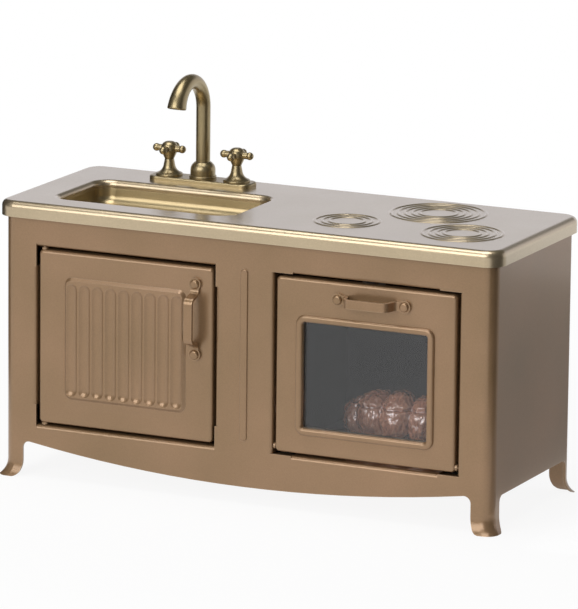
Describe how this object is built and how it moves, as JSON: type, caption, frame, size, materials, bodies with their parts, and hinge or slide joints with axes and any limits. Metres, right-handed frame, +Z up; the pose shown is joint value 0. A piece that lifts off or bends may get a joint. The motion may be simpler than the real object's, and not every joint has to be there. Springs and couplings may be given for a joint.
{
  "type": "doll kitchen",
  "caption": "Doll's sheet-metal kitchen: bow-fronted cabinet on curled feet with a hinged cupboard door, drop-down windowed oven door, sink, hob rings and a cross-handled gooseneck tap.",
  "frame": {"origin": "centre of the whole object's footprint, on the surface it stands on", "axes": "+X to the right seen from the front, the front with its doors faces -Y, +Z up"},
  "size_m": [0.1844, 0.0754, 0.1342],
  "materials": {
    "cabinet_paint": "satin brown lacquer with a fine metallic grain",
    "handle_paint": "satin brown lacquer",
    "rivet_steel": "satin brown lacquer over rivet heads",
    "oven_enamel": "dull dark grey",
    "worktop_brass": "pale champagne, semi-gloss",
    "tap_brass": "polished, pale",
    "catch_steel": "plain zinc plated",
    "magnet": "dark ferrite",
    "window": "clear smoked sheet",
    "bread_plastic": "baked brown, slightly glossy"
  },
  "bodies": {
    "cabinet": {"cabinet_shell": "cabinet_paint", "back_panel": "cabinet_paint", "back_rivets": "rivet_steel", "floor_panel": "cabinet_paint", "centre_partition": "cabinet_paint", "oven_liner": "oven_enamel", "worktop": "worktop_brass", "sink_basin": "worktop_brass", "tap_base_plate": "tap_brass", "tap_collar": "tap_brass", "left_tap_cone": "tap_brass", "right_tap_cone": "tap_brass", "tap_fixing_nuts": "tap_brass", "cupboard_catch_bracket": "catch_steel", "cupboard_catch_magnet": "magnet", "oven_catch_bracket": "catch_steel", "oven_catch_magnet": "magnet", "toy_bread": "bread_plastic"},
    "cupboard_door": {"cupboard_door_panel": "cabinet_paint", "cupboard_grip": "handle_paint", "cupboard_grip_rivets": "handle_paint", "cupboard_hinge_pins": "cabinet_paint"},
    "oven_door": {"oven_door_panel": "cabinet_paint", "window_pane": "window", "window_retainer": "catch_steel", "oven_grip": "handle_paint", "oven_grip_rivets": "handle_paint", "oven_hinge_pins": "cabinet_paint"},
    "left_handle": {"left_tap_handle": "tap_brass", "left_tap_spindle": "tap_brass"},
    "right_handle": {"right_tap_handle": "tap_brass", "right_tap_spindle": "tap_brass"},
    "spout": {"tap_spout": "tap_brass", "spout_washer": "tap_brass"}
  },
  "joints": [
    {"name": "cupboard_door_hinge", "type": "hinge", "parent": "cabinet", "child": "cupboard_door", "pos_m": [-0.0751, -0.02987, 0.04935], "axis": [0, 0, -1], "range_deg": [0, 110]},
    {"name": "oven_door_hinge", "type": "hinge", "parent": "cabinet", "child": "oven_door", "pos_m": [0.04415, -0.02987, 0.0211], "axis": [1, 0, 0], "range_deg": [0, 90]},
    {"name": "left_handle_turn", "type": "hinge", "parent": "cabinet", "child": "left_handle", "pos_m": [-0.0566, 0.02622, 0.1023], "axis": [0, 0, 1], "continuous": true},
    {"name": "right_handle_turn", "type": "hinge", "parent": "cabinet", "child": "right_handle", "pos_m": [-0.031, 0.02622, 0.1023], "axis": [0, 0, 1], "continuous": true},
    {"name": "spout_swivel", "type": "hinge", "parent": "cabinet", "child": "spout", "pos_m": [-0.0438, 0.02622, 0.103], "axis": [0, 0, 1], "range_deg": [-90, 90]}
  ]
}
